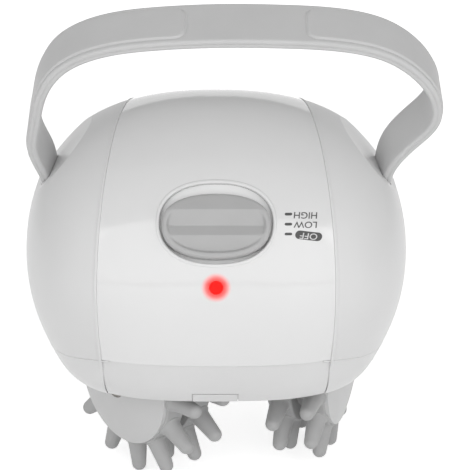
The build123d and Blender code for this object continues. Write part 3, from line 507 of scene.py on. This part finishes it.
def dome_rise(across, up):
    """How far the dome stands out of the switch's plane, found by halving an interval."""
    low, high = (np.full(np.shape(across), limit) for limit in RISE_SEARCH)
    for _ in range(HALVINGS):
        middle = (low + high) / 2
        point = switch_point(across, up, middle)
        inside = point[..., 1] > dome_front(point[..., 0], point[..., 2])
        low = np.where(inside, middle, low)
        high = np.where(inside, high, middle)
    return (low + high) / 2


def oval_ring(half, inset, turns):
    """|x/a|^n + |y/b|^n = 1, as points on evenly turned rays, with a and b less the inset."""
    across = np.abs(np.cos(turns) / (half[0] - inset)) ** OVAL_POWER
    along = np.abs(np.sin(turns) / (half[1] - inset)) ** OVAL_POWER
    reach = (across + along) ** (-1 / OVAL_POWER)
    return reach * np.cos(turns), reach * np.sin(turns)


rim_turns = np.linspace(0, 2 * pi, 161)[:-1]
rim_rows = []
edge_rise = dome_rise(*oval_ring(RECESS_HALF, 0.0, rim_turns))
for inwards, outwards in np.array(LIP_STEPS) / 1000:
    ring_x, ring_up = oval_ring(RECESS_HALF, inwards, rim_turns)
    rise = dome_rise(ring_x, ring_up) if inwards < 0 else edge_rise
    rim_rows.append(switch_point(ring_x, ring_up, rise + outwards))
for inwards in LIP_FEET:
    ring_x, ring_up = oval_ring(RECESS_HALF, inwards, rim_turns)
    rim_rows.append(switch_point(ring_x, ring_up, RECESS_FLOOR - LIP_SINK))
rim_grid = np.stack(rim_rows)
recess_rim = mesh_piece(
    "switch_recess_rim", rim_grid.reshape(-1, 3), band_faces(len(rim_rows), len(rim_turns), close_rows=True)
)
recess_rim.data.materials.append(gloss_abs)
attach(recess_rim, "casing")


# The slide knob: grey ABS, an oval pebble that falls away at the back, with two sunk steps for the
# thumb. A stem under it goes through the slot in the recess to the switch lever.
KNOB_HALF = (0.0196, 0.0121)
KNOB_MIDDLE = -0.0014
KNOB_BASE = -0.0031
KNOB_TOP = 0.0021
KNOB_BEVEL = 0.0006
FLANK_FOOT = KNOB_BASE + 0.0004
FLANK_TOP = KNOB_TOP - 0.0014
KNOB_ROUND = 0.0012
STEP_EDGES = np.array([-0.0091, -0.0039, 0.0, 0.0056])
STEP_HEIGHTS = np.array([-0.0016, 0.0, -0.0019, 0.0])
STEP_FADE_START = 0.0016
STEP_FADE = 0.0012
CROWN_SLOPE = 0.38
# The rows of the knob's top, as insets from its rim: they are closer where the steps fade out.
TOP_INSETS = np.concatenate([np.arange(0.0014, 0.0046, 0.0002), np.arange(0.0048, 0.0122, 0.0003)])
STEM_HALF = (0.0025, 0.0018)
STEM_FOOT = -0.0076


def knob_surface(columns=240):
    """Rows of ovals from the underside over the side to the middle, lowered along two steps.

    The steps are a zigzag in the up direction, faded out by a smooth step near the rim. Above
    them the whole knob falls away by a constant slope.
    """
    turns = np.linspace(0, 2 * pi, columns + 1)[:-1]
    side = [(KNOB_BEVEL, KNOB_BASE), (0.0, FLANK_FOOT), (0.0, FLANK_TOP)]
    round_over = np.radians(np.arange(15, 91, 15))
    side += [(KNOB_ROUND * (1 - np.cos(a)), KNOB_TOP - KNOB_ROUND * (1 - np.sin(a))) for a in round_over]
    crest = STEP_EDGES[-1]
    rows = []
    for inset, height in side:
        x, up = oval_ring(KNOB_HALF, inset, turns)
        fall = CROWN_SLOPE * np.maximum(up - crest, 0) * (height > FLANK_FOOT)
        rows.append(switch_point(x, up + KNOB_MIDDLE, height - fall))
    for inset in TOP_INSETS:
        x, up = oval_ring(KNOB_HALF, inset, turns)
        fade = smooth_step((inset - STEP_FADE_START) / STEP_FADE)
        step = np.interp(up, STEP_EDGES, STEP_HEIGHTS) * fade - CROWN_SLOPE * np.maximum(up - crest, 0)
        rows.append(switch_point(x, up + KNOB_MIDDLE, KNOB_TOP + step))
    return np.stack(rows)


knob_grid = knob_surface()
knob_faces = capped_faces(*knob_grid.shape[:2])
knob_count = knob_grid.shape[0] * knob_grid.shape[1]
stem_corner = np.array([(-1, -1), (1, -1), (1, 1), (-1, 1)])
stem_x = stem_corner[:, 0] * STEM_HALF[0]
stem_up = stem_corner[:, 1] * STEM_HALF[1] + KNOB_MIDDLE
stem_points = np.concatenate(
    [switch_point(stem_x, stem_up, STEM_FOOT), switch_point(stem_x, stem_up, KNOB_BASE)]
)
stem_faces = np.array([(0, 1, 5, 4), (1, 2, 6, 5), (2, 3, 7, 6), (3, 0, 4, 7), (0, 3, 2, 1), (4, 5, 6, 7)])
knob_points = np.concatenate([knob_grid.reshape(-1, 3), stem_points])
knob_faces += (stem_faces + knob_count).tolist()
knob = mesh_piece("fluted_slide_knob", knob_points, knob_faces)
knob_abs, knob_skin = surface("grey_knob_abs", "#B6B6B6", 0.4)
mottled(knob_skin, 12.0, "#BABABA", "#B2B2B2", 0.34, 0.44)
grained(knob_skin, 0.5, 0.008)
knob.data.materials.append(knob_abs)
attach(knob, "switch_knob")
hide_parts("slide_knob")


# The legend: ink pad-printed beside the recess, three dashes and three words in dark grey, OFF in
# pale ink on a dark pill. It reads from behind, where the user's arm is, so it is turned half round.
INK_LIFT = 0.00005
LETTER_HEIGHT = 0.0023
# Shares: a capital's height in its type size, the ink's spread and a bar's tip in their height.
CAPITAL_SHARE = 0.70
INK_SPREAD = 0.012
BAR_TIP = 0.02
WORD_STRETCH = 1.12
WORD_TILT = radians(-6.0)
DASH_SIZE = (0.0027, 0.0010)
DASH_TILT = radians(-3.0)
PILL_MIDDLE = (0.03335, 0.06850)
PILL_SIZE = (0.0100, 0.0032)
PILL_TILT = radians(-12.0)
OFF_STRETCH = 1.15
OFF_TILT = radians(-10.0)


def on_dome(x, z, lift):
    """Points of the dome's front at x and z, lifted towards the front."""
    return np.stack([x, dome_front(x, z) - lift, z], axis=-1)


def printed_bar(name, middle, size, tilt):
    """A bar with round ends: width along it falls as sqrt(1 - t^2) inside each end."""
    length, height = size
    along = np.sin(np.linspace(-pi / 2, pi / 2, 41)) * length / 2
    end = np.clip((np.abs(along) - (length - height) / 2) / (height / 2), 0, 1)
    half = np.maximum(np.sqrt(1 - end**2), BAR_TIP) * height / 2
    up = half[:, None] * np.linspace(-1, 1, 9)[None, :]
    x = middle[0] + along[:, None] * cos(tilt) - up * sin(tilt)
    z = middle[1] + (along[:, None] * sin(tilt) + up * cos(tilt)) * SWITCH_UP[2]
    rows, columns = x.shape
    first = np.arange(rows - 1)[:, None] * columns + np.arange(columns - 1)[None, :]
    faces = np.stack([first, first + columns, first + columns + 1, first + 1], axis=-1).reshape(-1, 4)
    return mesh_piece(name, on_dome(x, z, INK_LIFT).reshape(-1, 3), faces.tolist(), closed=False)


def printed_word(name, word, middle, stretch, tilt, lift):
    """A word as flat ink: its outline is turned half round, stretched, then laid on the dome."""
    curve = bpy.data.curves.new(name + "_outline", "FONT")
    curve.body = word
    curve.align_x = "CENTER"
    curve.align_y = "CENTER"
    curve.size = LETTER_HEIGHT / CAPITAL_SHARE
    curve.offset = LETTER_HEIGHT * INK_SPREAD
    outline = bpy.data.objects.new(name + "_outline", curve)
    scene.collection.objects.link(outline)
    flat = bpy.data.meshes.new_from_object(outline)
    bpy.data.objects.remove(outline)
    points = np.empty(len(flat.vertices) * 3)
    flat.vertices.foreach_get("co", points)
    points = -points.reshape(-1, 3)
    points[:, 0] *= stretch
    x = middle[0] + points[:, 0] * cos(tilt) - points[:, 1] * sin(tilt)
    z = middle[1] + (points[:, 0] * sin(tilt) + points[:, 1] * cos(tilt)) * SWITCH_UP[2]
    faces = [list(polygon.vertices) for polygon in flat.polygons]
    return mesh_piece(name, on_dome(x, z, lift), faces, closed=False)


ink, ink_skin = surface("dark_grey_ink", "#555555", 0.5)
mottled(ink_skin, 0.8, "#585858", "#4E4E4E", 0.45, 0.55)
pale_ink, pale_skin = surface("pale_grey_ink", "#DADADA", 0.5)
mottled(pale_skin, 0.8, "#DDDDDD", "#D2D2D2", 0.45, 0.55)
legend = [
    printed_bar("dash_high", (0.02605, 0.0758), DASH_SIZE, DASH_TILT),
    printed_bar("dash_low", (0.02600, 0.0727), DASH_SIZE, DASH_TILT),
    printed_bar("dash_off", (0.02597, 0.0696), DASH_SIZE, DASH_TILT),
    printed_word("word_high", "HIGH", (0.0323, 0.0751), WORD_STRETCH, WORD_TILT, INK_LIFT),
    printed_word("word_low", "LOW", (0.0323, 0.0722), WORD_STRETCH, WORD_TILT, INK_LIFT),
    printed_bar("pill_off", PILL_MIDDLE, PILL_SIZE, PILL_TILT),
]
for print_piece in legend:
    print_piece.data.materials.append(ink)
word_off = printed_word("word_off", "OFF", PILL_MIDDLE, OFF_STRETCH, OFF_TILT, 2 * INK_LIFT)
word_off.data.materials.append(pale_ink)
for print_piece in legend + [word_off]:
    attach(print_piece, "casing")


# The power light: a clear red acrylic plug, flush in the cover, lit from behind by the diode.
# It is brightest in its middle and a little dimmer towards its edge.
LENS_REACH = 0.0025
LENS_MIDDLE_STRENGTH = 1.0
LENS_EDGE_STRENGTH = 0.75

lens_red, lens_skin = surface("lit_red_acrylic", "#E01008", 0.3, {"Specular IOR Level": 0.2})
lens_tree, lens_shader, lens_place = lens_skin
lens_shader.inputs["Emission Color"].default_value = linear("#FF0A06")
lens_middle = add_node(
    lens_tree, "ShaderNodeVectorMath", {0: lens_place, 1: LIGHT_POINT}, operation="DISTANCE"
)
lens_fall = add_node(
    lens_tree,
    "ShaderNodeMapRange",
    {
        "Value": lens_middle.outputs["Value"],
        "From Min": 0.0,
        "From Max": LENS_REACH,
        "To Min": LENS_MIDDLE_STRENGTH,
        "To Max": LENS_EDGE_STRENGTH,
    },
)
lens_tree.links.new(lens_fall.outputs[0], lens_shader.inputs["Emission Strength"])
wear(lens_red, "light_lens", "power_led")


# The hand strap: one band of soft grey elastomer that springs over the back of the hand. It is
# injection moulded with rounded corners, a fine parting line along each edge and two raised panels.
STRAP_LEAN = radians(26.0)
STRAP_FOOT_HEIGHT = 0.0694
STRAP_HALF_WIDTH = 0.011
STRAP_HALF_THICKNESS = 0.0019
STRAP_CORNER = 0.0011
PARTING_HALF = 0.0003
PARTING_DEPTH = 0.00025
PANEL_HALF_WIDTH = 0.0083
PANEL_RISE = 0.0005
PANEL_EDGE = 0.0008
PANEL_CORNER = 0.004
GROOVE_DEPTH = 0.00025
GROOVE_PLACE = 0.0004
GROOVE_HALF = 0.00035
# Distances of the panels' ends from the left foot, along the band, in metres.
LEFT_PANEL = (0.0215, 0.1225)
RIGHT_PANEL = (0.1660, 0.2760)
# Rows and columns lie closer together this far on each side of a panel's ends and borders.
END_MARGIN = 0.005
BORDER_MARGIN = 0.0012
STRAP_ROUTE = np.array(
    [
        (-64.2, -5.0), (-66.0, 14.0), (-69.4, 27.0), (-67.7, 39.0), (-64.8, 51.5), (-57.4, 64.9),
        (-42.5, 73.8), (-22.0, 77.6), (0.0, 78.9), (25.0, 78.6), (45.0, 77.0), (61.7, 72.1),
        (73.7, 62.7), (80.3, 52.1), (81.4, 42.0), (74.8, 30.9), (66.6, 17.0), (64.2, -5.0),
    ]
) / 1000
STRAP_END_WAYS = np.array([(-0.1, 1.0), (-0.1, -1.0)])


def smooth_route(points, end_ways, stations):
    """A cubic through the points, over the chord length, with the given directions at its ends.

    The slopes at the points come from the usual linear system for equal curvature on both sides.
    """
    chord = np.linalg.norm(np.diff(points, axis=0), axis=1)
    knots = np.concatenate([[0.0], np.cumsum(chord)])
    count = len(points)
    system = np.eye(count)
    inner = np.arange(1, count - 1)
    system[inner, inner - 1] = chord[1:]
    system[inner, inner] = 2 * (chord[:-1] + chord[1:])
    system[inner, inner + 1] = chord[:-1]
    rise = np.diff(points, axis=0) / chord[:, None]
    right = np.zeros_like(points)
    right[1:-1] = 3 * (chord[1:, None] * rise[:-1] + chord[:-1, None] * rise[1:])
    right[[0, -1]] = end_ways / np.linalg.norm(end_ways, axis=1)[:, None]
    slopes = np.linalg.solve(system, right)
    where = stations * knots[-1]
    span = np.clip(np.searchsorted(knots, where, side="right") - 1, 0, count - 2)
    width = chord[span]
    share = ((where - knots[span]) / width)[:, None]
    width = width[:, None]
    place = (
        points[span] * (1 + 2 * share) * (1 - share) ** 2
        + slopes[span] * width * share * (1 - share) ** 2
        + points[span + 1] * share**2 * (3 - 2 * share)
        - slopes[span + 1] * width * share**2 * (1 - share)
    )
    way = np.gradient(place, where, axis=0)
    return place, way / np.linalg.norm(way, axis=1)[:, None]


def panel_relief(along, across, start, end):
    """Height of a raised panel over the band.

    Its outline is a rectangle with round corners. The height is a smooth step of the distance
    outside it, less a groove that follows a bell curve, exp(-t^2), of that distance.
    """
    middle = (start + end) / 2
    half = (end - start) / 2
    corner_x = np.maximum(np.abs(along - middle) - half + PANEL_CORNER, 0)
    corner_y = np.maximum(np.abs(across) - PANEL_HALF_WIDTH + PANEL_CORNER, 0)
    outside = np.hypot(corner_x, corner_y) - PANEL_CORNER
    groove = np.exp(-(((outside - GROOVE_PLACE) / GROOVE_HALF) ** 2))
    return PANEL_RISE * smooth_step(0.5 - outside / PANEL_EDGE) - GROOVE_DEPTH * groove


coarse_place, _ = smooth_route(STRAP_ROUTE, STRAP_END_WAYS, np.linspace(0, 1, 2000))
strap_length = np.linalg.norm(np.diff(coarse_place, axis=0), axis=1).sum()
near_end = np.linspace(-END_MARGIN, END_MARGIN, 26)
close_stations = [end + near_end for end in LEFT_PANEL + RIGHT_PANEL]
stations = np.concatenate([np.linspace(0, strap_length, 340)] + close_stations)
stations = np.unique(np.clip(stations, 0, strap_length))
route_place, route_way = smooth_route(STRAP_ROUTE, STRAP_END_WAYS, stations / strap_length)
route_out = np.stack([-route_way[:, 1], route_way[:, 0]], axis=-1)

flat_reach = STRAP_HALF_WIDTH - STRAP_CORNER
border = PANEL_HALF_WIDTH + np.linspace(-BORDER_MARGIN, BORDER_MARGIN, 9)
face_across = np.unique(np.concatenate([np.linspace(-flat_reach, flat_reach, 15), border, -border]))
corner_turns = np.radians(np.array([22.5, 45.0, 67.5]))
corner_out = STRAP_CORNER * np.cos(corner_turns)
corner_side = STRAP_CORNER * np.sin(corner_turns)
face_out = np.full(len(face_across), STRAP_HALF_THICKNESS)
bend = STRAP_HALF_THICKNESS - STRAP_CORNER
under_across = np.linspace(flat_reach, -flat_reach, 9)
edge_line = np.array([(0.0, PARTING_HALF), (-PARTING_DEPTH, 0.0), (0.0, -PARTING_HALF)])
ring_across = np.concatenate(
    [
        face_across,
        flat_reach + corner_side,
        STRAP_HALF_WIDTH + edge_line[:, 0],
        (flat_reach + corner_side)[::-1],
        under_across,
        -flat_reach - corner_side,
        -STRAP_HALF_WIDTH - edge_line[:, 0],
        (-flat_reach - corner_side)[::-1],
    ]
)
ring_out = np.concatenate(
    [
        face_out,
        bend + corner_out,
        edge_line[:, 1],
        (-bend - corner_out)[::-1],
        np.full(len(under_across), -STRAP_HALF_THICKNESS),
        -bend - corner_out,
        edge_line[::-1, 1],
        (bend + corner_out)[::-1],
    ]
)
relief = np.zeros((len(stations), len(ring_across)))
for start, end in (LEFT_PANEL, RIGHT_PANEL):
    relief[:, :len(face_across)] += panel_relief(stations[:, None], face_across[None, :], start, end)
out_of_band = ring_out[None, :] + relief
strap_x = route_place[:, None, 0] + route_out[:, None, 0] * out_of_band
strap_rise = route_place[:, None, 1] + route_out[:, None, 1] * out_of_band
strap_depth = np.broadcast_to(ring_across[None, :], strap_x.shape)
strap_grid = np.stack(
    [
        strap_x,
        -strap_rise * sin(STRAP_LEAN) + strap_depth * cos(STRAP_LEAN),
        STRAP_FOOT_HEIGHT + strap_rise * cos(STRAP_LEAN) + strap_depth * sin(STRAP_LEAN),
    ],
    axis=-1,
)
strap = mesh_piece("panelled_hand_strap", strap_grid.reshape(-1, 3), capped_faces(*strap_grid.shape[:2]))
strap_rubber, strap_skin = surface(
    "soft_grey_elastomer", "#CCCCCC", 0.5, {"Sheen Weight": 0.15, "Sheen Roughness": 0.5}
)
mottled(strap_skin, 18.0, "#D0D0D0", "#C8C8C8", 0.46, 0.56)
grained(strap_skin, 0.5, 0.012)
strap.data.materials.append(strap_rubber)
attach(strap, "casing")
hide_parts("hand_strap")


# The rollers: fingers of grey silicone rubber moulded on plastic wheel centres, under a domed cap
# of grey ABS. The rubber is matt with a powdery grain; the cap is smoother and paler.
rubber, rubber_skin = surface(
    "grey_silicone_rubber",
    "#B4B4B4",
    0.6,
    {"Sheen Weight": 0.25, "Sheen Roughness": 0.4, "Specular IOR Level": 0.35},
)
mottled(rubber_skin, 6.0, "#B9B9B9", "#AFAFAF", 0.55, 0.68)
grained(rubber_skin, 0.45, 0.015)
cap_abs, cap_skin = surface("grey_cap_abs", "#D0D0D0", 0.42)
mottled(cap_skin, 15.0, "#D3D3D3", "#CCCCCC", 0.38, 0.48)
grained(cap_skin, 0.6, 0.006)
wheel_abs, wheel_skin = surface("white_wheel_abs", "#DCDCDC", 0.4)
mottled(wheel_skin, 10.0, "#E0E0E0", "#D8D8D8", 0.35, 0.45)
grained(wheel_skin, 0.8, 0.008)


# The drive in each arm: turned brass, stamped steel plates and acetal gears. Brushed steel has
# long fine scratches down the arm, brass has short tool marks, and acetal is waxy and translucent.
def scratched(skin, stretch, grain, depth):
    """Fine parallel scratches: noise whose spots are stretched along one direction."""
    tree, shader, place = skin
    drawn = add_node(tree, "ShaderNodeMapping", {"Vector": place, "Scale": stretch})
    lines = add_node(
        tree, "ShaderNodeTexNoise", {"Vector": drawn.outputs[0], "Scale": texture_scale(grain), "Detail": 3.0}
    )
    relief = add_node(
        tree, "ShaderNodeBump", {"Height": lines.outputs["Fac"], "Distance": depth / 1000.0, "Strength": 1.0}
    )
    tree.links.new(relief.outputs[0], shader.inputs["Normal"])


steel, steel_skin = surface("brushed_steel", "#B4B4B4", 0.34, {"Metallic": 1.0})
mottled(steel_skin, 8.0, "#BABABA", "#A8A8A8", 0.28, 0.42)
scratched(steel_skin, (1.0, 1.0, 0.04), 0.3, 0.010)
brass, brass_skin = surface("turned_brass", "#B59A6A", 0.34, {"Metallic": 1.0})
mottled(brass_skin, 3.0, "#BFA375", "#A68A5B", 0.28, 0.45)
scratched(brass_skin, (0.2, 1.0, 1.0), 0.25, 0.008)
acetal, acetal_skin = surface(
    "white_acetal", "#E6E3DA", 0.38, {"Subsurface Weight": 0.15, "Subsurface Scale": 0.001}
)
mottled(acetal_skin, 5.0, "#E9E6DE", "#E0DCD2", 0.34, 0.44)
grained(acetal_skin, 0.7, 0.006)
for side in ("left", "right"):
    wear(rubber, side + "_outer_finger_wheel", side + "_inner_finger_wheel")
    wear(cap_abs, side + "_roller_cap")
    wear(wheel_abs, side + "_outer_wheel_centre", side + "_inner_wheel_centre")
    wear(steel, side + "_arm_outer_plate", side + "_arm_inner_plate", side + "_arm_rim")
    wear(steel, side + "_roller_axle", side + "_idler_pins", side + "_motor_shaft")
    wear(brass, side + "_cap_screw", side + "_axle_bushes", side + "_motor_pinion")
    wear(acetal, side + "_axle_gear", side + "_lower_idler", side + "_upper_idler")


# The motors, the switch's case and the screws: zinc-plated steel, with the cloudy spangle that
# plating has. The lever of the switch is black nylon.
zinc, zinc_skin = surface("zinc_plated_steel", "#A9ACB0", 0.38, {"Metallic": 1.0})
mottled(zinc_skin, 2.5, "#B2B5B9", "#9C9FA4", 0.30, 0.50)
grained(zinc_skin, 0.4, 0.006)
wear(zinc, "left_gear_motor", "right_gear_motor", "slide_switch")
wear(zinc, "strap_screws", "case_screws", "board_screws", "battery_contacts")
nylon, nylon_skin = surface("black_nylon", "#1E1E1E", 0.45)
mottled(nylon_skin, 1.5, "#232323", "#191919", 0.40, 0.55)
grained(nylon_skin, 0.4, 0.010)
wear(nylon, "switch_lever")


# The circuit board: glass and resin under a green solder mask, over copper tracks that stand out
# as paler lines. Four screws hold it on posts of the centre cover.
TRACK_SPACING = 4.0
TRACK_SHARE = 0.06

board, board_skin = surface("green_solder_mask", "#1E5A36", 0.35, {"Coat Weight": 0.4})
board_tree, board_shader, board_place = board_skin
tracks = add_node(
    board_tree,
    "ShaderNodeTexBrick",
    {
        "Vector": board_place,
        "Scale": texture_scale(TRACK_SPACING),
        "Color1": linear("#1E5A36"),
        "Color2": linear("#22633C"),
        "Mortar": linear("#4C8A58"),
        "Mortar Size": TRACK_SHARE,
    },
)
board_tree.links.new(tracks.outputs["Color"], board_shader.inputs["Base Color"])
grained(board_skin, 0.5, 0.006)
wear(board, "control_board")


# The four cells: steel cans in a thin sleeve of shrunk plastic, smooth and a little glossy, and
# printed in two colours that meet in one line across all four.
SLEEVE_LINE = 0.0100

sleeve, sleeve_skin = surface("cell_sleeve", "#3C4650", 0.3, {"Coat Weight": 0.3})
sleeve_tree, sleeve_shader, sleeve_place = sleeve_skin
sleeve_axes = add_node(sleeve_tree, "ShaderNodeSeparateXYZ", {0: sleeve_place})
sleeve_band = add_node(
    sleeve_tree, "ShaderNodeMath", {0: sleeve_axes.outputs["X"], 1: SLEEVE_LINE}, operation="GREATER_THAN"
)
sleeve_colours = add_node(
    sleeve_tree,
    "ShaderNodeMix",
    {"Factor": sleeve_band.outputs[0], 6: linear("#3C4650"), 7: linear("#B9A888")},
    data_type="RGBA",
)
sleeve_tree.links.new(sleeve_colours.outputs[2], sleeve_shader.inputs["Base Color"])
grained(sleeve_skin, 1.2, 0.010)
wear(sleeve, "battery_cells")
